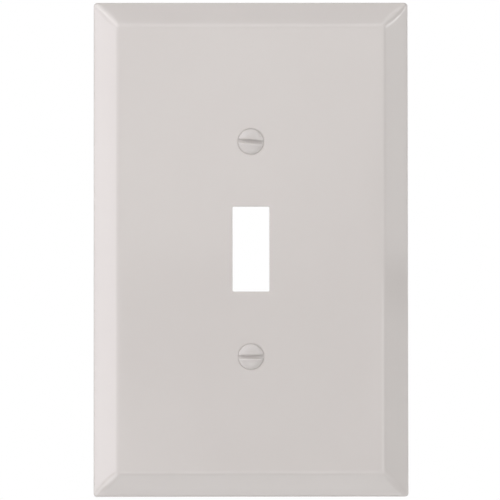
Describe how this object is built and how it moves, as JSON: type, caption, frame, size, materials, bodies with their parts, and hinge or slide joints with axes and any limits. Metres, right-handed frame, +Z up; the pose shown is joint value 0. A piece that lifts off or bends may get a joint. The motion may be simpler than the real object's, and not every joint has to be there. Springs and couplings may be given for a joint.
{
  "type": "toggle switch wall plate",
  "caption": "Oversize bevelled wall plate of painted steel sheet with an open toggle slot, dimpled screw seats and slotted oval-head screws.",
  "frame": {"origin": "centre of the plate's footprint, on the wall plane, midway between its screws", "axes": "+X across the plate, +Y through the plate into the wall, +Z up the wall; the painted front faces -Y"},
  "size_m": [0.0888, 0.0138, 0.1396],
  "materials": {
    "plate_enamel": "gloss",
    "screw_enamel": "gloss",
    "zinc_plating": "satin"
  },
  "bodies": {
    "plate": {"wall_plate": "plate_enamel"},
    "upper_screw_body": {"upper_screw": "screw_enamel"},
    "lower_screw_body": {"lower_screw": "screw_enamel"}
  },
  "joints": [
    {"name": "upper_screw_turn", "type": "hinge", "parent": "plate", "child": "upper_screw_body", "pos_m": [0, -0.00623, 0.03016], "axis": [0, 1, 0], "continuous": true},
    {"name": "lower_screw_turn", "type": "hinge", "parent": "plate", "child": "lower_screw_body", "pos_m": [0, -0.00623, -0.03016], "axis": [0, 1, 0], "continuous": true}
  ]
}
